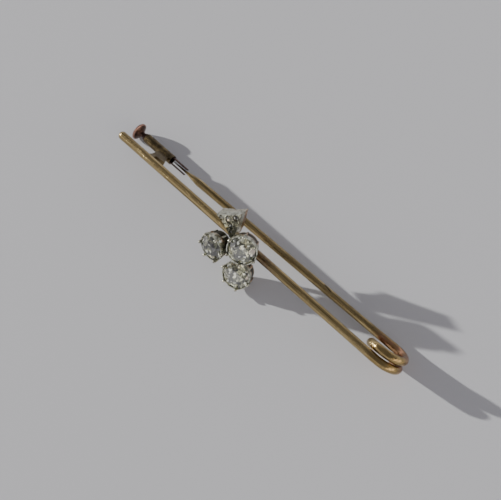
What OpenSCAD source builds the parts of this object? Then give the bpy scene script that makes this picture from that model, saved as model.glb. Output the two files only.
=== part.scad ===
// Bar brooch in gold wire: a straight bar, a spring coil and a pin behind it,
// a tube catch with a sliding inner tube, and a shamrock set with old cut stones.
// The brooch is drawn in its own frame (X along the bar, Y to the stem side,
// Z away from the pin) and is then laid on the table as it rests by itself.

/* [Bar and spring] */
// Diameter of the bar's wire
wire_d = 1.34; // [1.24:0.02:1.38]
// Where the bar's rounded tip ends, left of the shamrock
tip_x = -25.8; // [-27:0.1:-25.2]
// Where the spring's axis lies, right of the shamrock
coil_x = 27; // [26.5:0.1:27.5]
// Radius of the spring's turns, at the wire's centre
coil_r = 2.55; // [2.45:0.05:2.7]
// Advance of the spring in one turn
coil_pitch = 1.5; // [1.5:0.05:1.6]
// Turn of the spring about the brooch's Z, away from square to the bar
coil_twist = 3; // [2:0.5:10]

/* [Pin] */
// Diameter of the pin's round stem
pin_d = 1.2; // [1:0.05:1.3]
// Length of the round stem
shank_len = 33.5; // [30:0.5:33.5]
// Length of the taper, down to the point
taper_len = 5.3; // [5.3:0.1:5.9]
// Widest opening of the pin, away from the bar
pin_open = 20; // [5:1:20]

/* [Catch] */
// Outer diameter of the fixed tube
barrel_d = 1.6; // [1.56:0.02:1.8]
// Length of the fixed tube
barrel_len = 5.9; // [5.6:0.1:6]
// Outer diameter of the sliding tube
slide_d = 1.2; // [1.16:0.02:1.22]
// How far the sliding tube stands out of the fixed one
slide_reach = 3.1; // [2.9:0.1:3.2]
// Diameter of the flared pull at the sliding tube's end
pull_d = 2.9; // [2.4:0.1:3.2]

/* [Shamrock] */
// Girdle radius of the two larger stones
leaf_stone_r = 2.08; // [1.9:0.01:2.1]
// Size of the left leaf, compared with the others
left_leaf_k = 0.92; // [0.8:0.02:0.96]
// Claws on each leaf
claws = 6; // [4:1:6]
// Length of the fan shaped stem, along its longer side
stem_len = 4.2; // [4.1:0.05:4.4]
// Depth of the stem's wall
stem_h = 2; // [1.8:0.1:2.2]

/* [Hidden] */
$fn = 48;
// Seat gap between neighbouring pieces
gap = 0.03;

// Tilt that carries each half turn of the spring sideways by half the pitch
turn_tilt = asin(coil_pitch / 4 / coil_r);
// Each stretch of the wire that runs out of a thicker one is a little finer
turn_d = wire_d - 0.02;
// How deep one wire is let into the next, also as an angle of the spring
lap = 0.05;
lap_deg = lap / coil_r * 180 / PI;
// Angle left open under the spring, where the two bodies' wires meet
split_deg = pin_open + 1.5;
// The bar bends toward the spring's crest, and the pin bends back from its foot
lead_r = 12;
lead_x = coil_x - lead_r * sin(coil_twist);
crest_y = lead_r * (1 - cos(coil_twist));
// Place of the spring's foot, after one turn and a half
pin_z = -2 * coil_r * cos(turn_tilt);
foot_along = 1.5 * coil_pitch;
foot_x = coil_x - foot_along * sin(coil_twist);
foot_y = crest_y + foot_along * cos(coil_twist);

// The catch's axis runs along X
catch_y = 1.5;
catch_z = pin_z;
barrel_x = -24.2;
mouth_x = barrel_x + barrel_len + slide_reach;
bore_d = slide_d + 0.08;
slide_bore_d = 0.8;
slot_w = 0.74;
slot_x = barrel_x + barrel_len - 0.6;
pull_x = -26.2;

// The pin's line runs from the end of its bend to its point in the catch
neck_len = 5.5;
pin_len = neck_len + shank_len + taper_len;
pin_skew = asin((foot_y - crest_y - catch_y) / pin_len);
point_r = 0.05;
fine_r = 0.2;
fine_len = 2.8;

// The bracket is a plate between the bar and the fixed tube: places along X
// and distances from the bar's centre line toward the tube
bracket_t = 0.5;
BRACKET = [
    [-20.1, 0.2], [-19.2, 0.2], [-19.3, 1.9], [-17.6, 2.1],
    [-18.6, 3.9], [-18.7, 5], [-20.8, 5], [-20.6, 3.9], [-20.1, 1.8]
];

// How the brooch lies: rolled about the bar, pitched a little, lifted to the table
rest_roll = 28.134;
rest_pitch = 0.47;
rest_move = [-1.967, 0.387, 4.978];

// Leaves: centre of the stone's girdle, tilt, bearing of the tilt, size, turn of the claws
LEAVES = [
    [[-0.7, -2.9, 4.4], 40, -97, left_leaf_k, 15],
    [[3.24, -0.3, 4.6], 30, -49, 1, -9],
    [[3.42, -4.4, -0.06], 27, -71, 1, 1]
];
collet_wall = 0.2;
collet_h = 2.3;
// Foot ring's outer radius, compared with the collet's top, and its wall
collet_taper = 0.8;
foot_wall = 0.34;
claw_r = 0.17;
claw_tip_r = 0.24;
// Bead where the stem meets the leaves, in the stem's frame
bead_r = 0.42;
bead_at = [0, -0.3, -0.35];

// Stem: its inner end, the tilt of its face, the tilt's bearing and the stem's own turn
STEM = [[0.06, -0.27, 2.52], 37.6, -79.6, 29.2];
stem_w = 4.3;
stem_tip_w = 0.7;
stem_slant = 0.8;
stem_dip = 0.16;
// Small stones in the stem: place across, place along, girdle radius
STEM_STONES = [
    [-1.3, 2.98, 0.34], [0.02, 2.86, 0.58], [1.27, 3.38, 0.42],
    [0.25, 1.8, 0.36], [0.08, 0.9, 0.25]
];

// From the brooch's own frame to the way it lies
module lay() {
    translate(rest_move) rotate([rest_roll, rest_pitch, 0]) children();
}

// A frame whose Z leans away from the brooch's Z toward a bearing
module leaning(at, tilt, bearing, turn) {
    translate(at) rotate([0, 0, bearing]) rotate([0, tilt, 0]) rotate([0, 0, turn - bearing])
        children();
}

// Round rod or cone between two points
module rod(a, b, r1, r2) {
    v = b - a;
    translate(a) rotate([0, acos(v.z / norm(v)), atan2(v.y, v.x)])
        cylinder(h = norm(v), r1 = r1, r2 = r2);
}

// Arc of the spring's wire in the XZ plane, about the origin
module wire_arc(from, deg, d) {
    rotate([90, 0, 0]) rotate([0, 0, from]) rotate_extrude(angle = deg)
        translate([coil_r, 0]) circle(d = d);
}

// The spring's own frame, with its first crest at the origin and its axis along Y
module at_spring() {
    translate([coil_x, crest_y, 0]) rotate([0, 0, coil_twist]) children();
}

// Part of a turn from a crest of the spring down toward its foot
module turn_down(y, deg, past, d) {
    translate([0, y, 0]) rotate([turn_tilt, 0, 0]) translate([0, 0, -coil_r])
        wire_arc(90 - deg, deg + past, d);
}

// Half a turn from a foot of the spring up to its crest and a little past it
module turn_up(y, past) {
    translate([0, y, pin_z]) rotate([-turn_tilt, 0, 0]) translate([0, 0, coil_r])
        wire_arc(90 - past, 180 + past, wire_d);
}

// Bar with its rounded tip, its bend and the spring's first half turn
module bar_wire() {
    ball_x = tip_x + wire_d / 2;
    translate([ball_x, 0, 0]) rotate([0, 90, 0]) cylinder(h = lead_x + lap - ball_x, d = wire_d);
    translate([ball_x, 0, 0]) sphere(d = wire_d);
    translate([lead_x, lead_r, 0]) rotate([0, 0, -90]) rotate_extrude(angle = coil_twist)
        translate([lead_r, 0]) circle(d = turn_d);
    at_spring() turn_down(0, 180 - split_deg, lap_deg, wire_d);
}

// Plate that carries the fixed tube behind the bar
module bracket() {
    rotate([atan2(catch_z, catch_y), 0, 0]) translate([0, 0, -bracket_t / 2])
        linear_extrude(bracket_t) polygon(BRACKET);
}

// Rod along X on the catch's axis
module catch_rod(x, len, d1, d2) {
    translate([x, catch_y, catch_z]) rotate([0, 90, 0]) cylinder(h = len, d1 = d1, d2 = d2);
}

module bar_and_catch() {
    color("goldenrod") lay() difference() {
        union() {
            bar_wire();
            bracket();
            catch_rod(barrel_x, barrel_len, barrel_d, barrel_d);
        }
        catch_rod(barrel_x - 1, barrel_len + 2, bore_d, bore_d);
    }
}

// The stem's outline: its neck, the round shank, the taper and the drawn point
module stem_outline() {
    polygon([
        [0, -lap], [turn_d / 2, -lap], [turn_d / 2, lap], [pin_d / 2, neck_len],
        [pin_d / 2, neck_len + shank_len], [fine_r, pin_len - fine_len], [point_r, pin_len], [0, pin_len]
    ]);
}

// One turn and a half of the spring, the bend back along the bar, then the stem
module pin_stem() {
    early = lap / lead_r * 180 / PI;
    bend = coil_twist - pin_skew;
    color("gold") lay() {
        at_spring() {
            turn_up(coil_pitch / 2, lap_deg);
            turn_down(coil_pitch, 180, 0, turn_d);
        }
        translate([foot_x, foot_y, pin_z]) rotate([0, 0, coil_twist]) translate([0, lead_r, 0]) {
            rotate([0, 0, -90 - bend]) rotate_extrude(angle = bend + early)
                translate([lead_r, 0]) circle(d = wire_d);
            rotate([0, 0, -bend]) translate([0, -lead_r, 0]) rotate([0, 0, 90]) rotate([-90, 0, 0])
                rotate_extrude() stem_outline();
        }
    }
}

// Flared pull, turned from the neck out to a thin rim
module pull() {
    r = pull_d / 2;
    neck_r = 0.42;
    translate([pull_x, catch_y, catch_z]) rotate([0, 90, 0]) rotate_extrude()
        polygon([
            [0, 0.12], [r - 0.35, 0.06], [r - 0.1, 0], [r, 0.1], [r, 0.26], [r - 0.25, 0.42],
            [0.85, 0.62], [0.55, 0.86], [neck_r, 1.12], [neck_r, 1.4],
            [slide_d / 2, 1.55], [slide_d / 2, 2], [0, 2]
        ]);
}

// Inner tube of the catch: its mouth is forked, so the pin passes between two prongs
module catch_slider() {
    tube_x = pull_x + 2;
    color("peru") lay() {
        pull();
        difference() {
            catch_rod(tube_x, mouth_x - tube_x, slide_d, slide_d);
            catch_rod(slot_x - 2.4, mouth_x - slot_x + 3, slide_bore_d, slide_bore_d);
            translate([slot_x, catch_y - slot_w / 2, catch_z - slide_d])
                cube([mouth_x - slot_x + 1, slot_w, 2 * slide_d]);
        }
    }
}

// Outer radius of a collet's foot ring
function foot_radius(r) = collet_taper * (r + collet_wall);

// Cone shaped collet with claws, about the centre of its stone's girdle
module collet(r) {
    top_r = r + collet_wall;
    foot_r = foot_radius(r);
    rotate_extrude() polygon([
        [r + 0.06, 0.1], [top_r, 0.1], [top_r, -0.18], [foot_r, -collet_h],
        [foot_r - foot_wall, -collet_h], [r - 0.15, -0.28], [r + 0.06, -0.12]
    ]);
    claw_at = top_r + 0.05;
    for (i = [0:claws - 1]) rotate([0, 0, 360 * i / claws]) {
        rod([foot_r + 0.08, 0, -collet_h + 0.3], [claw_at, 0, 0.12], claw_r, claw_r);
        translate([claw_at, 0, 0.12]) sphere(r = claw_r);
        rod([claw_at, 0, 0.12], [r + 0.17, 0, 0.36], claw_r, claw_r);
        translate([r + 0.15, 0, 0.36]) sphere(r = claw_tip_r);
    }
}

// Half width of the stem's fan at a share of its length
function fan(t, spread) = stem_tip_w / 2 + (stem_w - stem_tip_w) / 2 * pow(t, spread);

// Outline of the stem: its left side is shorter and flares late, its right side early
function fan_outline() = let (left_len = stem_len - stem_slant) concat(
    [for (i = [0:4]) [fan(i / 4, 0.8), stem_len * i / 4]],
    [[0, stem_len - stem_slant / 2 - stem_dip]],
    [for (i = [6:-1:0]) [-fan(i / 6, 1.8), left_len * i / 6]]
);

// Seat cut for a small stone: a straight mouth over a cone
module stone_seat(r) {
    rim_z = -0.14;
    foot_z = rim_z - 1.1 * r;
    rotate_extrude() polygon([[0, 1], [r + gap, 1], [r + gap, rim_z], [0.2 * r, foot_z], [0, foot_z]]);
}

// Fan shaped setting: a deep wall, the stones' seats and four grains about each
module stem_body() {
    grain_r = 0.09;
    difference() {
        translate([0, 0, -stem_h]) linear_extrude(stem_h) polygon(fan_outline());
        for (s = STEM_STONES) translate([s.x, s.y, 0]) stone_seat(s.z);
    }
    for (s = STEM_STONES) for (a = [45:90:315])
        translate([s.x, s.y, -0.02] + (s.z + 0.1) * [cos(a), sin(a), 0]) sphere(r = grain_r);
    translate(bead_at) sphere(r = bead_r);
}

// Gold wires under the shamrock, from a boss on the bar to each part
module gallery() {
    hub = [0.5, -0.4, 1.1];
    rod([hub.x, 0, 0.4], hub, 0.55, 0.5);
    translate(hub) sphere(r = 0.5);
    for (l = LEAVES) {
        d = [sin(l[1]) * cos(l[2]), sin(l[1]) * sin(l[2]), cos(l[1])];
        foot = l[0] - d * (collet_h - foot_wall / 2);
        side = (hub - foot) - d * ((hub - foot) * d);
        ring_r = foot_radius(leaf_stone_r * l[3]) - foot_wall / 2;
        rod(hub, foot + side / norm(side) * ring_r, 0.36, 0.3);
    }
    rod(hub, STEM[0] - [0, 0, 0.4], 0.36, 0.36);
}

module shamrock_mount() {
    color("silver") lay() difference() {
        union() {
            for (l = LEAVES) leaning(l[0], l[1], l[2], l[4]) collet(leaf_stone_r * l[3]);
            leaning(STEM[0], STEM[1], STEM[2], STEM[3]) stem_body();
            gallery();
        }
        rod([tip_x, 0, 0], [coil_x, 0, 0], wire_d / 2 + gap, wire_d / 2 + gap);
    }
}

// Old cut: eight fold crown and pavilion with stars, kites and girdle facets
function ring(n, r, z, off) = [for (i = [0:n - 1]) [r * cos(off + 360 * i / n), r * sin(off + 360 * i / n), z]];
// Height that keeps a kite flat between the inner ring and the girdle
function kite_z(h, r_in, r_mid) = h * (1 - (r_mid * cos(22.5) - r_in) / (1 - r_in));

module gem(r) {
    crown_h = 0.34;
    pavilion_h = 0.86;
    table_r = 0.52;
    bezel_r = 0.8;
    culet_r = 0.08;
    lower_r = 0.45;
    girdle_h = 0.04;
    pts = concat(
        ring(8, table_r, crown_h, 0), ring(8, bezel_r, kite_z(crown_h, table_r, bezel_r), 22.5),
        ring(16, 1, 0, 0), ring(16, 1, -girdle_h, 0),
        ring(8, lower_r, -girdle_h - kite_z(pavilion_h, culet_r, lower_r), 22.5),
        ring(8, culet_r, -girdle_h - pavilion_h, 0)
    );
    k = [for (i = [0:7]) i];
    n = [for (i = k) (i + 1) % 8];
    faces = concat(
        [[for (i = [7:-1:0]) i]], [[for (i = k) 56 + i]],
        [for (i = k) [i, n[i], 8 + i]],
        [for (i = k) [n[i], 8 + n[i], 16 + 2 * n[i], 8 + i]],
        [for (i = k) [8 + i, 17 + 2 * i, 16 + 2 * i]],
        [for (i = k) [8 + i, 16 + 2 * n[i], 17 + 2 * i]],
        [for (i = [0:15]) [16 + i, 16 + (i + 1) % 16, 32 + (i + 1) % 16, 32 + i]],
        [for (i = k) [48 + i, 32 + 2 * i, 33 + 2 * i]],
        [for (i = k) [48 + i, 33 + 2 * i, 32 + 2 * n[i]]],
        [for (i = k) [56 + n[i], 48 + i, 32 + 2 * n[i], 48 + n[i]]],
        [for (i = k) [56 + i, 48 + i, 56 + n[i]]]
    );
    scale(r) polyhedron(pts, faces);
}

module leaf_stone(i) {
    l = LEAVES[i];
    color("lightcyan") lay() leaning(l[0], l[1], l[2], l[4]) gem(leaf_stone_r * l[3]);
}

module stem_stone(i) {
    s = STEM_STONES[i];
    color("azure") lay() leaning(STEM[0], STEM[1], STEM[2], STEM[3])
        translate([s.x, s.y, -0.1]) gem(s.z);
}

bar_and_catch();
pin_stem();
catch_slider();
shamrock_mount();
leaf_stone(0);  // leaf_stone_left
leaf_stone(1);  // leaf_stone_right
leaf_stone(2);  // leaf_stone_front
stem_stone(0);  // stem_stone_1
stem_stone(1);  // stem_stone_2
stem_stone(2);  // stem_stone_3
stem_stone(3);  // stem_stone_4
stem_stone(4);  // stem_stone_5
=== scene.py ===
"""Gold bar brooch with a sprung pin, a tube catch and a shamrock of old cut stones.

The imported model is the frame. This file gives its pieces their finishes, and adds a
camera, a pale floor and soft studio light. Lengths in the dataclasses are millimetres
and angles are degrees unless a name says otherwise. Blender's objects are in metres.
"""
import logging
import math
from dataclasses import dataclass
from enum import Enum
from typing import Any, Sequence

import bpy
from mathutils import Matrix, Vector


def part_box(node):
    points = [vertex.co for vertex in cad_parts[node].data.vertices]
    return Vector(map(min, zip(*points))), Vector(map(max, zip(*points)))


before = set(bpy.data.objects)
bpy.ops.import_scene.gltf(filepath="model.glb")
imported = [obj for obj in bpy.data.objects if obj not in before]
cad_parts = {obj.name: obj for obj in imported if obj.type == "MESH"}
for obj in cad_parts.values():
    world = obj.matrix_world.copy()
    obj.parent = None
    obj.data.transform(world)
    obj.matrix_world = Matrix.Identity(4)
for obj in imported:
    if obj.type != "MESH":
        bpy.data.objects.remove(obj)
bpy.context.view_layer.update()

Span = tuple[float, float]
Triple = tuple[float, float, float]
Colour = tuple[float, float, float, float]

LOG = logging.getLogger("brooch")
MM = 0.001
ALONG_BAR: Triple = (1.0, 0.0, 0.0)
UP: Triple = (0.0, 0.0, 1.0)
BLACK: Colour = (0.0, 0.0, 0.0, 1.0)


# Shader expressions


class Operation(Enum):
    """What a Math or Vector Math node does."""

    ADD = "ADD"
    SUBTRACT = "SUBTRACT"
    MULTIPLY = "MULTIPLY"
    MAXIMUM = "MAXIMUM"
    SCALE = "SCALE"
    DOT_PRODUCT = "DOT_PRODUCT"
    DISTANCE = "DISTANCE"


class Wire:
    """An output socket that takes part in expressions on numbers."""

    def __init__(self, graph: "Graph", socket: bpy.types.NodeSocket) -> None:
        """Keeps the graph that new nodes go into, and the socket."""
        self.graph = graph
        self.socket = socket

    def _math(self, operation: Operation, *values: Any) -> "Wire":
        """Adds a Math node.

        Args:
            operation: what the node does.
            values: its inputs in order, links or numbers.

        Returns:
            The node's output.
        """
        settings, inputs = {"operation": operation.value}, dict(enumerate(values))
        return Wire(self.graph, self.graph.add("ShaderNodeMath", settings, inputs).outputs[0])

    def __add__(self, other: Any) -> "Wire":
        """self + other"""
        return self._math(Operation.ADD, self, other)

    __radd__ = __add__

    def __sub__(self, other: Any) -> "Wire":
        """self - other"""
        return self._math(Operation.SUBTRACT, self, other)

    def __rsub__(self, other: Any) -> "Wire":
        """other - self"""
        return self._math(Operation.SUBTRACT, other, self)

    def __mul__(self, other: Any) -> "Wire":
        """self * other"""
        return self._math(Operation.MULTIPLY, self, other)

    __rmul__ = __mul__

    def most(self, other: Any) -> "Wire":
        """The larger of two values."""
        return self._math(Operation.MAXIMUM, self, other)

    def clamp(self) -> "Wire":
        """self held between 0 and 1"""
        return Wire(self.graph, self.graph.add("ShaderNodeClamp", {}, {"Value": self}).outputs[0])

    def ramp(self, low: float, high: float) -> "Wire":
        """Smooth step from 0 at low to 1 at high.

        Args:
            low: the value that gives 0.
            high: the value that gives 1.

        Returns:
            The stepped value.
        """
        settings = {"interpolation_type": "SMOOTHSTEP"}
        inputs = {"Value": self, "From Min": low, "From Max": high}
        return Wire(self.graph, self.graph.add("ShaderNodeMapRange", settings, inputs).outputs[0])


class Graph:
    """A node tree that is filled by expressions."""

    def __init__(self, tree: bpy.types.NodeTree) -> None:
        """Empties the tree and keeps it."""
        tree.nodes.clear()
        self.tree = tree

    def add(self, kind: str, settings: dict[str, Any], inputs: dict[Any, Any]) -> bpy.types.Node:
        """Adds one node of any type.

        Args:
            kind: Blender's type name of the node.
            settings: its properties; "stops" fills a colour ramp.
            inputs: values or links by the input's name or index.

        Returns:
            The new node.
        """
        node = self.tree.nodes.new(kind)
        for key, value in settings.items():
            if key == "stops":
                self._fill_ramp(node, value)
            else:
                setattr(node, key, value)
        for key, value in inputs.items():
            self._feed(node.inputs[key], value)
        return node

    def _feed(self, socket: bpy.types.NodeSocket, value: Any) -> None:
        """Sets a socket, or links it.

        Args:
            socket: the input.
            value: a Wire, an output socket, or a plain value.
        """
        if isinstance(value, Wire):
            self.tree.links.new(value.socket, socket)
        elif isinstance(value, bpy.types.NodeSocket):
            self.tree.links.new(value, socket)
        else:
            socket.default_value = value

    @staticmethod
    def _fill_ramp(node: bpy.types.Node, stops: Sequence[tuple[float, Colour]]) -> None:
        """Gives a colour ramp its stops.

        Args:
            node: the ramp's node.
            stops: each stop's place between 0 and 1, and its colour.
        """
        elements = node.color_ramp.elements
        while len(elements) < len(stops):
            elements.new(1.0)
        for element, (place, colour) in zip(elements, stops):
            element.position = place
            element.color = colour

    def vector(self, operation: Operation, place: Any, inputs: dict[Any, Any]) -> bpy.types.Node:
        """Adds a Vector Math node.

        Args:
            operation: what the node does.
            place: its first vector.
            inputs: its other values.

        Returns:
            The node.
        """
        return self.add("ShaderNodeVectorMath", {"operation": operation.value}, {0: place, **inputs})

    def place_mm(self) -> bpy.types.NodeSocket:
        """The point's place in the frame, in millimetres."""
        place = self.add("ShaderNodeTexCoord", {}, {}).outputs["Object"]
        return self.vector(Operation.SCALE, place, {"Scale": 1 / MM}).outputs[0]

    def stretched(self, place: Any, factors: Triple) -> bpy.types.NodeSocket:
        """The place with each axis multiplied by its own factor."""
        return self.vector(Operation.MULTIPLY, place, {1: factors}).outputs[0]

    def along(self, place: Any, direction: Sequence[float], start: Sequence[float] = (0, 0, 0)) -> Wire:
        """How far a place lies along a direction.

        Args:
            place: the vector that is measured.
            direction: a unit vector.
            start: the place where the distance is 0.

        Returns:
            The signed distance, in the place's own unit.
        """
        node = self.vector(Operation.DOT_PRODUCT, place, {1: tuple(direction)})
        return Wire(self, node.outputs["Value"]) - float(Vector(direction).dot(Vector(start)))

    def away(self, place: Any, centre: Sequence[float]) -> Wire:
        """Distance of a place from a point."""
        return Wire(self, self.vector(Operation.DISTANCE, place, {1: tuple(centre)}).outputs["Value"])

    def mix(self, factor: Any, low: Any, high: Any) -> bpy.types.NodeSocket:
        """A colour between two others.

        Args:
            factor: 0 gives low and 1 gives high.
            low: colour or link.
            high: colour or link.

        Returns:
            The mixed colour.
        """
        return self.add("ShaderNodeMix", {"data_type": "RGBA"}, {0: factor, 6: low, 7: high}).outputs[2]

    def bump(self, height: Wire, strength: float, depth: float) -> bpy.types.NodeSocket:
        """Normals of a relief.

        Args:
            height: relief between 0 and 1.
            strength: how much of it shows.
            depth: height of 1, in millimetres.

        Returns:
            The bumped normal.
        """
        inputs = {"Height": height, "Strength": strength, "Distance": depth * MM}
        return self.add("ShaderNodeBump", {}, inputs).outputs[0]

    def shade(self, values: dict[str, Any]) -> None:
        """Ends a material with one Principled shader.

        Args:
            values: its inputs, numbers or links.
        """
        shader = self.add("ShaderNodeBsdfPrincipled", {}, values)
        self.add("ShaderNodeOutputMaterial", {}, {"Surface": shader.outputs[0]})


def new_graph(name: str) -> tuple[bpy.types.Material, Graph]:
    """Makes an empty material.

    Args:
        name: the material's name.

    Returns:
        The material and its graph.
    """
    material = bpy.data.materials.new(name)
    material.use_nodes = True
    return material, Graph(material.node_tree)


@dataclass(frozen=True)
class Grain:
    """Cloudy noise: cells to a millimetre, octaves, their roughness, and the span of its step."""

    scale: float
    detail: float = 3.0
    rough: float = 0.55
    edge: Span = (0.0, 1.0)

    def noise(self, graph: Graph, place: Any) -> Wire:
        """The noise itself, between 0 and 1."""
        inputs = {"Vector": place, "Scale": self.scale, "Detail": self.detail, "Roughness": self.rough}
        return Wire(graph, graph.add("ShaderNodeTexNoise", {}, inputs).outputs["Fac"])

    def stepped(self, graph: Graph, place: Any) -> Wire:
        """The noise stepped over its span."""
        return self.noise(graph, place).ramp(*self.edge)


# How the brooch lies


def heading(bearing: float, height: float) -> Vector:
    """A direction from two angles.

    Args:
        bearing: degrees from +X toward +Y.
        height: degrees up from the XY plane.

    Returns:
        The unit vector.
    """
    around, up = math.radians(bearing), math.radians(height)
    return Vector((math.cos(around) * math.cos(up), math.sin(around) * math.cos(up), math.sin(up)))


@dataclass(frozen=True)
class Rest:
    """The turn and lift that carry the brooch's own frame to the way it lies, as in the part's source."""

    roll: float = 28.134
    pitch: float = 0.47
    move: Triple = (-1.967, 0.387, 4.978)

    def turned(self, direction: Sequence[float]) -> Vector:
        """Turns a direction of the brooch's own frame.

        Args:
            direction: the direction, in a frame with the bar along X and its front toward Z.

        Returns:
            The direction as the brooch lies.
        """
        pitch = Matrix.Rotation(math.radians(self.pitch), 3, "Y")
        roll = Matrix.Rotation(math.radians(self.roll), 3, "X")
        return pitch @ roll @ Vector(direction)

    def placed(self, point: Sequence[float]) -> Vector:
        """A point of the brooch's own frame, as it lies."""
        return self.turned(point) + Vector(self.move)


REST = Rest()


@dataclass(frozen=True)
class Face:
    """A set face of the shamrock: its centre, its lean and bearing in the brooch's own frame, its reach."""

    centre: Triple
    tilt: float
    bearing: float
    reach: float

    def middle(self) -> Vector:
        """The face's centre, as the brooch lies."""
        return REST.placed(self.centre)

    def normal(self) -> Vector:
        """The direction that the face looks in, as the brooch lies."""
        return REST.turned(heading(self.bearing, 90.0 - self.tilt))


LEAF_FACES = (
    Face((-0.7, -2.9, 4.4), 40.0, -97.0, 1.91),
    Face((3.24, -0.3, 4.6), 30.0, -49.0, 2.08),
    Face((3.42, -4.4, -0.06), 27.0, -71.0, 2.08),
)
STEM_FACE = Face((-1.06, 1.63, 2.9), 37.6, -79.6, 3.0)
LEAF_STONES = ("leaf_stone_left", "leaf_stone_right", "leaf_stone_front")
STEM_STONES = tuple(f"stem_stone_{number}" for number in range(1, 6))


# Finishes


@dataclass(frozen=True)
class WornGold:
    """Old gold wire: drawn lines along it, a dull film, a darker patch on the bar's front past the mount, a
    stain about the catch, and on the coil painted shade and a painted warm reflection.

    A layer's share is the least and the most of its colour that the blotches let through.
    Places along the bar are measured along X, and places behind it from the bar's own axis.
    """

    name: str = "worn_yellow_gold"
    bright: Colour = (0.48, 0.37, 0.18, 1)
    drawn: Colour = (0.17, 0.13, 0.06, 1)
    smoke: Colour = (0.06, 0.045, 0.028, 1)
    soot: Colour = (0.15, 0.10, 0.075, 1)
    copper: Colour = (0.55, 0.27, 0.18, 1)
    spring: Colour = (0.36, 0.25, 0.10, 1)
    lines: Grain = Grain(2.2, 3.0, 0.6, (0.46, 0.58))
    line_stretch: Triple = (0.04, 2.4, 2.4)
    film: Grain = Grain(0.8, 5.0, 0.6, (0.45, 0.75))
    blotch: Grain = Grain(1.5, 3.0, 0.55, (0.35, 0.7))
    dents: Grain = Grain(1.1, 2.0)
    line_share: float = 0.8
    film_share: float = 0.35
    soot_share: Span = (0.45, 0.9)
    spring_share: Span = (0.6, 0.6)
    copper_share: Span = (0.35, 0.85)
    smoke_share: Span = (0.6, 0.95)
    catch_end: Span = (-17.5, -17.0)
    solder_start: Span = (0.5, 2.5)
    solder_end: Span = (4.0, 7.0)
    inner_start: Span = (21.0, 23.0)
    coil_start: Span = (22.5, 24.0)
    bar_back: Span = (0.75, 1.1)
    inner_front: Span = (0.9, 2.4)
    inner_back: Span = (4.2, 5.0)
    smooth: float = 0.24
    dull: float = 0.44
    film_dulls: float = 0.6
    lines_dull: float = 0.3
    coil_polish: float = 0.75
    line_relief: float = 0.6
    dent_relief: float = 0.8
    bump: Span = (0.4, 0.05)

    def material(self) -> bpy.types.Material:
        """Builds the finish.

        Returns:
            The material.
        """
        material, graph = new_graph(self.name)
        place = graph.place_mm()
        lines = self.lines.stepped(graph, graph.stretched(place, self.line_stretch))
        film = self.film.stepped(graph, place)
        tone = graph.mix(lines * self.line_share, self.bright, self.drawn)
        tone = graph.mix(film * self.film_share, tone, self.drawn)
        tone = self.stained(graph, place, tone)
        nick = self.nick(graph, place)
        wear = film * self.film_dulls + lines * self.lines_dull
        polish = 1 - graph.along(place, ALONG_BAR).ramp(*self.coil_start) * self.coil_polish
        relief = lines * self.line_relief + self.dents.noise(graph, place) * self.dent_relief - nick
        graph.shade({
            "Base Color": graph.mix(nick, tone, self.smoke),
            "Metallic": 1.0,
            "Roughness": polish * (self.smooth + wear * (self.dull - self.smooth)),
            "Normal": graph.bump(relief, *self.bump),
        })
        return material

    def stained(self, graph: Graph, place: Any, tone: Any) -> bpy.types.NodeSocket:
        """Lays the stains, the darker patch, and the coil's painted shade and painted reflection over a
        colour.

        Args:
            graph: the material's graph.
            place: the point's place.
            tone: the colour of the clean wire.

        Returns:
            The colour with its stains and painted shade.
        """
        along = graph.along(place, ALONG_BAR)
        behind = graph.along(place, REST.turned((0, 0, -1)), REST.placed((0, 0, 0)))
        back = behind.ramp(*self.bar_back)
        blotch = self.blotch.stepped(graph, place)
        # a darker patch on the bar's front, just past the shamrock's mount
        past_mount = along.ramp(*self.solder_start) * (1 - along.ramp(*self.solder_end)) * (1 - back)
        coil = along.ramp(*self.coil_start)
        inner = behind.ramp(*self.inner_front) * along.ramp(*self.inner_start)
        inner = inner * (1 - behind.ramp(*self.inner_back))
        catch = back * (1 - along.ramp(*self.catch_end))
        stains_and_shade = (
            (past_mount, self.soot_share, self.soot),
            # painted shade: the coil's gold darkened, standing in for the dark room that its polished turns
            # reflect
            (coil, self.spring_share, self.spring),
            # painted reflection: a warm copper tint between the bar and the pin in the coil, standing in
            # for light bounced between the turns
            (inner, self.copper_share, self.copper),
            (catch, self.smoke_share, self.smoke),
        )
        for mask, (least, most), colour in stains_and_shade:
            tone = graph.mix(mask * (least + blotch * (most - least)), tone, colour)
        return tone

    def nick(self, graph: Graph, place: Any) -> Any:
        """Where the wire is nicked: nowhere on the bar."""
        return 0.0


@dataclass(frozen=True)
class PinGold(WornGold):
    """The same gold on the pin, with a nick across its outer side."""

    name: str = "worn_pin_gold"
    nick_at: Triple = (14.2, 2.45, -4.75)
    nick_across: Triple = (0.14, 0.97, -0.2)
    nick_reach: Span = (0.6, 0.9)
    nick_width: Span = (0.06, 0.14)

    def nick(self, graph: Graph, place: Any) -> Any:
        """Draws a short dark scratch, askew across the wire.

        Args:
            graph: the material's graph.
            place: the point's place.

        Returns:
            1 in the scratch and 0 elsewhere.
        """
        at = REST.placed(self.nick_at)
        aside = graph.along(place, REST.turned(self.nick_across), at)
        near = 1 - graph.away(place, at).ramp(*self.nick_reach)
        return near * (1 - aside.most(aside * -1).ramp(*self.nick_width))


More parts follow.
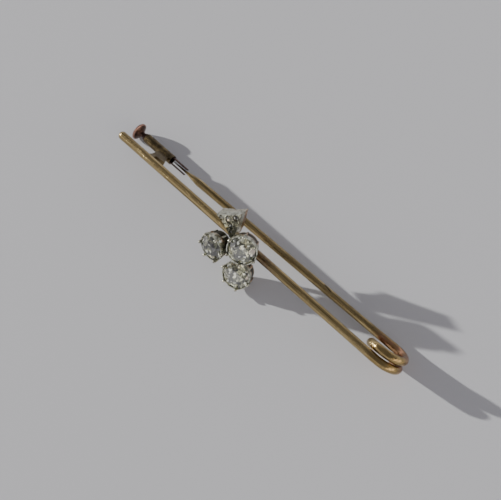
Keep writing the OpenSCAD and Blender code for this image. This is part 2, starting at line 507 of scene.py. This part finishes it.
@dataclass(frozen=True)
class SmokedGold:
    """Reddish brown, little handled gold of the sliding tube, rubbed pink at the pull's rim, where the
    lighter rim is also a painted highlight.
    """

    name: str = "smoked_red_gold"
    deep: Colour = (0.035, 0.02, 0.015, 1)
    rubbed: Colour = (0.42, 0.25, 0.20, 1)
    grime: Grain = Grain(1.8, 5.0, 0.65, (0.35, 0.7))
    pull_at: Triple = (-26.1, 1.5, -5.045)
    rim: Span = (1.23, 1.41)
    pull_end: Span = (-27.5, -27.2)
    rim_share: float = 0.8
    clean_share: float = 0.2
    smooth: float = 0.2
    grime_dulls: float = 0.22
    bump: Span = (0.4, 0.04)

    def material(self) -> bpy.types.Material:
        """Builds the finish.

        Returns:
            The material.
        """
        material, graph = new_graph(self.name)
        place = graph.place_mm()
        rim = graph.away(place, REST.placed(self.pull_at)).ramp(*self.rim)
        near = 1 - graph.along(place, ALONG_BAR).ramp(*self.pull_end)
        grime = self.grime.stepped(graph, place)
        # the pull's rim painted lighter: rubbed wear and a painted highlight
        worn_and_highlight = (rim * near * self.rim_share + (1 - grime) * self.clean_share).clamp()
        graph.shade({
            "Base Color": graph.mix(worn_and_highlight, self.deep, self.rubbed),
            "Metallic": 1.0,
            "Roughness": self.smooth + grime * self.grime_dulls,
            "Normal": graph.bump(grime, *self.bump),
        })
        return material


@dataclass(frozen=True)
class SilverTop:
    """Pale metal about the stones over a darker gold, with old grime in the seats and between claws.

    Depths are measured from a set face, and are negative behind it.
    """

    name: str = "silver_topped_gold"
    top: Colour = (0.66, 0.67, 0.56, 1)
    wall: Colour = (0.50, 0.34, 0.22, 1)
    grime: Colour = (0.05, 0.045, 0.03, 1)
    specks: Grain = Grain(2.0, 5.0, 0.7, (0.44, 0.6))
    dents: Grain = Grain(1.9)
    speck_share: float = 0.75
    stem_depth: Span = (-0.45, -0.15)
    stem_margin: float = 0.4
    end_axis: Triple = (-0.5, 0.849, 0.17)
    end_slope: Span = (0.6, 0.8)
    end_depth: Span = (-1.9, -1.3)
    end_share: float = 0.8
    leaf_depth: Span = (-0.9, -0.5)
    leaf_margin: Span = (0.6, 0.9)
    hollow_depth: Span = (-0.1, 0.02)
    hollow_margin: Span = (-0.02, 0.08)
    hollow_reach: Span = (2.6, 2.9)
    seat_share: float = 0.66
    seat_edge: float = 0.22
    smooth: float = 0.22
    dirt_dulls: float = 0.3
    bump: Span = (0.5, 0.06)

    def material(self) -> bpy.types.Material:
        """Builds the finish.

        Returns:
            The material.
        """
        material, graph = new_graph(self.name)
        place = graph.place_mm()
        pale = self.stem_top(graph, place)
        inside: Any = 0.0
        for face in LEAF_FACES:
            leaf, hollow = self.leaf_top(graph, place, face)
            pale = pale.most(leaf)
            inside = hollow.most(inside)
        for node in STEM_STONES:
            inside = self.seat(graph, place, node).most(inside)
        dirt = (inside + self.specks.stepped(graph, place) * self.speck_share).clamp()
        graph.shade({
            "Base Color": graph.mix(dirt, graph.mix(pale, self.wall, self.top), self.grime),
            "Metallic": 1.0,
            "Roughness": self.smooth + dirt * self.dirt_dulls,
            "Normal": graph.bump(self.dents.noise(graph, place), *self.bump),
        })
        return material

    def stem_top(self, graph: Graph, place: Any) -> Wire:
        """Finds the pale metal of the stem: its face and, more faintly, its end wall.

        Args:
            graph: the material's graph.
            place: the point's place.

        Returns:
            1 on the pale metal and 0 elsewhere.
        """
        depth = graph.along(place, STEM_FACE.normal(), STEM_FACE.middle())
        away = graph.away(place, STEM_FACE.middle())
        near = 1 - away.ramp(STEM_FACE.reach, STEM_FACE.reach + self.stem_margin)
        normal = graph.add("ShaderNodeNewGeometry", {}, {}).outputs["Normal"]
        end = graph.along(normal, REST.turned(self.end_axis)).ramp(*self.end_slope)
        end = end * depth.ramp(*self.end_depth) * self.end_share
        return depth.ramp(*self.stem_depth).most(end) * near

    def leaf_top(self, graph: Graph, place: Any, face: Face) -> tuple[Wire, Wire]:
        """Finds the pale metal of one leaf, and its hollow under the stone.

        Args:
            graph: the material's graph.
            place: the point's place.
            face: the leaf's face.

        Returns:
            Two masks, 1 on the pale metal and 1 in the hollow.
        """
        depth = graph.along(place, face.normal(), face.middle())
        away = graph.away(place, face.middle())
        near = 1 - away.ramp(*(face.reach + edge for edge in self.leaf_margin))
        leaf = depth.ramp(*self.leaf_depth) * near
        from_axis = away * away - depth * depth
        hollow = 1 - from_axis.ramp(*((face.reach + edge) ** 2 for edge in self.hollow_margin))
        hollow = hollow * (1 - depth.ramp(*self.hollow_depth))
        return leaf, hollow * (1 - away.ramp(*self.hollow_reach))

    def seat(self, graph: Graph, place: Any, node: str) -> Wire:
        """Finds the metal close about a small stone.

        Args:
            graph: the material's graph.
            place: the point's place.
            node: the stone's name.

        Returns:
            1 close about the stone and 0 elsewhere.
        """
        low, high = (Vector(corner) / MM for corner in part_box(node))
        reach = (high - low).length / 2 * self.seat_share
        return 1 - graph.away(place, (low + high) / 2).ramp(reach, reach + self.seat_edge)


@dataclass(frozen=True)
class CutStone:
    """Old cut diamond: clear and faintly straw coloured, with its colour painted dark in patches as a
    painted reflection of its back facets, and a few cells that glow white as painted glints.
    """

    name: str = "old_cut_diamond"
    clear: Colour = (0.87, 0.86, 0.56, 1)
    dark: Colour = (0.02, 0.022, 0.01, 1)
    index: float = 2.42
    patch_scale: float = 1.35
    patch_edge: Span = (0.36, 0.42)
    # painted glints: a few cells of the stone glow white through Emission, though no lamp is there
    glint: Colour = (1.0, 1.0, 0.88, 1)
    glint_scale: float = 2.97
    glint_edge: Span = (0.9, 0.94)
    glow: float = 0.5
    dust: Grain = Grain(2.5, 4.0, 0.55, (0.5, 0.8))
    polish: float = 0.02
    dust_dulls: float = 0.06

    def material(self) -> bpy.types.Material:
        """Builds the finish.

        Returns:
            The material.
        """
        material, graph = new_graph(self.name)
        place = graph.place_mm()
        # painted reflection: cells of the stone's colour turned dark, standing in for the dark back facets
        # it reflects
        painted_reflection_mask = self.patches(graph, place, self.patch_scale, (1, 0, 0)).ramp(*self.patch_edge)
        # painted glints: the cells that glow
        painted_glint_mask = self.patches(graph, place, self.glint_scale, (0, 1, 0)).ramp(*self.glint_edge)
        graph.shade({
            "Base Color": graph.mix(painted_reflection_mask, self.clear, self.dark),
            "Roughness": self.polish + self.dust.stepped(graph, place) * self.dust_dulls,
            "IOR": self.index,
            "Transmission Weight": 1.0,
            "Emission Color": graph.mix(painted_glint_mask, BLACK, self.glint),
            "Emission Strength": self.glow,
        })
        return material

    def patches(self, graph: Graph, place: Any, scale: float, channel: Triple) -> Wire:
        """Gives each cell of a patchwork one value of its own.

        Args:
            graph: the material's graph.
            place: the point's place.
            scale: cells to a millimetre.
            channel: which of the cell's three values is taken.

        Returns:
            The cell's value, between 0 and 1.
        """
        cells = graph.add("ShaderNodeTexVoronoi", {}, {"Vector": place, "Scale": scale})
        return graph.along(cells.outputs["Color"], channel)


@dataclass(frozen=True)
class PaleFloor:
    """Smooth pale card with a faint tooth."""

    name: str = "pale_floor"
    colour: Colour = (0.62, 0.645, 0.69, 1)
    fleck: Colour = (0.5, 0.5, 0.5, 1)
    tooth: Grain = Grain(3.0, 6.0, 0.7)
    fleck_share: float = 0.06
    smooth: float = 0.62
    tooth_dulls: float = 0.1
    gloss: float = 0.3
    bump: Span = (0.08, 0.02)

    def material(self) -> bpy.types.Material:
        """Builds the finish.

        Returns:
            The material.
        """
        material, graph = new_graph(self.name)
        tooth = self.tooth.noise(graph, graph.place_mm())
        graph.shade({
            "Base Color": graph.mix(tooth * self.fleck_share, self.colour, self.fleck),
            "Roughness": self.smooth + tooth * self.tooth_dulls,
            "Specular IOR Level": self.gloss,
            "Normal": graph.bump(tooth, *self.bump),
        })
        return material


# The brooch


def dress(node: str, material: bpy.types.Material) -> None:
    """Gives a node of the frame a finish.

    Args:
        node: the node's name.
        material: the finish.
    """
    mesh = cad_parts[node].data
    mesh.materials.clear()
    mesh.materials.append(material)
    LOG.info("dressed %s with %s", node, material.name)


@dataclass
class Metalwork:
    """Bar, pin and catch in gold, and the silver-topped setting."""

    bar_and_catch: WornGold = WornGold()
    pin_stem: PinGold = PinGold()
    catch_slider: SmokedGold = SmokedGold()
    shamrock_mount: SilverTop = SilverTop()

    def build(self) -> None:
        """Dresses each metal piece with the finish of its name."""
        for node, finish in vars(self).items():
            dress(node, finish.material())


@dataclass
class Stones:
    """The three leaf stones and the five small stones of the stem."""

    names: tuple[str, ...] = LEAF_STONES + STEM_STONES
    cut: CutStone = CutStone()

    def build(self) -> None:
        """Dresses the stones."""
        diamond = self.cut.material()
        for node in self.names:
            dress(node, diamond)


# The studio


def put(name: str, data: Any) -> bpy.types.Object:
    """Puts a new object in the scene.

    Args:
        name: the object's name.
        data: its mesh, light or camera.

    Returns:
        The object.
    """
    thing = bpy.data.objects.new(name, data)
    bpy.context.scene.collection.objects.link(thing)
    LOG.info("put %s in the scene", name)
    return thing


def aimed(direction: Vector) -> Matrix:
    """The turn that points a camera or a light in a direction."""
    return direction.to_track_quat("-Z", "Y").to_matrix()


@dataclass
class Studio:
    """Camera, pale floor, a low key light, and a room of soft light with one bright card in it."""

    camera_at: Triple = (38.212, -38.174, 115.914)
    look_at: Triple = (-0.879, 1.948, 0.0)
    roll: float = 0.106
    lens: float = 60.78
    sensor: float = 36.0
    clip_m: Span = (0.005, 20.0)
    floor_half: float = 600.0
    key_bearing: float = 21.9
    key_height: float = 18.2
    key_spread: float = 1.2
    key_strength: float = 5.0
    key_colour: Triple = (1.0, 0.96, 0.9)
    room: tuple[tuple[float, Colour], ...] = (
        (0.0, (0.98, 0.96, 1.0, 1)), (0.2, (0.85, 0.83, 0.87, 1)), (0.42, (0.36, 0.35, 0.37, 1)),
        (0.65, (0.24, 0.235, 0.25, 1)), (1.0, (0.19, 0.185, 0.2, 1)))
    room_strength: float = 1.0
    card: Colour = (2.2, 1.9, 1.7, 1)
    card_side: Span = (0.74, 0.78)
    card_foot: Span = (0.05, 0.08)
    card_head: Span = (0.5, 0.54)

    def build(self) -> None:
        """Builds the camera, the floor and the lights."""
        self.camera()
        self.floor()
        self.key()
        self.fill()

    def camera(self) -> None:
        """Places the camera at the photograph's angle."""
        data = bpy.data.cameras.new("camera")
        data.lens = self.lens
        data.sensor_width = self.sensor
        data.clip_start, data.clip_end = self.clip_m
        at, target = Vector(self.camera_at) * MM, Vector(self.look_at) * MM
        turn = aimed(target - at) @ Matrix.Rotation(math.radians(self.roll), 3, "Z")
        camera = put("camera", data)
        camera.matrix_world = Matrix.Translation(at) @ turn.to_4x4()
        bpy.context.scene.camera = camera

    def floor(self) -> None:
        """Lays the pale floor."""
        mesh = bpy.data.meshes.new("floor")
        half = self.floor_half * MM
        corners = [(-half, -half, 0), (half, -half, 0), (half, half, 0), (-half, half, 0)]
        mesh.from_pydata(corners, [], [(0, 1, 2, 3)])
        mesh.materials.append(PaleFloor().material())
        put("floor", mesh)

    def key(self) -> None:
        """Hangs the low key light that throws the long shadows."""
        data = bpy.data.lights.new("key", "SUN")
        data.energy = self.key_strength
        data.angle = math.radians(self.key_spread)
        data.color = self.key_colour
        put("key", data).matrix_world = aimed(heading(self.key_bearing, -self.key_height)).to_4x4()

    def fill(self) -> None:
        """Fills the room with soft light that is brightest near the horizon, and hangs the card in it."""
        world = bpy.data.worlds.new("room")
        world.use_nodes = True
        graph = Graph(world.node_tree)
        around = graph.add("ShaderNodeTexCoord", {}, {}).outputs["Generated"]
        height = graph.along(around, UP)
        card = graph.along(around, ALONG_BAR).ramp(*self.card_side) * height.ramp(*self.card_foot)
        card = card * (1 - height.ramp(*self.card_head))
        tones = graph.add("ShaderNodeValToRGB", {"stops": self.room}, {"Fac": height})
        light = graph.add("ShaderNodeBackground", {}, {
            "Color": graph.mix(card, tones.outputs["Color"], self.card),
            "Strength": self.room_strength,
        })
        graph.add("ShaderNodeOutputWorld", {}, {"Surface": light.outputs[0]})
        bpy.context.scene.world = world
        LOG.info("filled the room with light")


def main() -> None:
    """Builds and dresses the brooch, then the studio around it."""
    logging.basicConfig(level=logging.INFO, format="%(name)s: %(message)s")
    Metalwork().build()
    Stones().build()
    Studio().build()


if __name__ == "__main__":
    main()
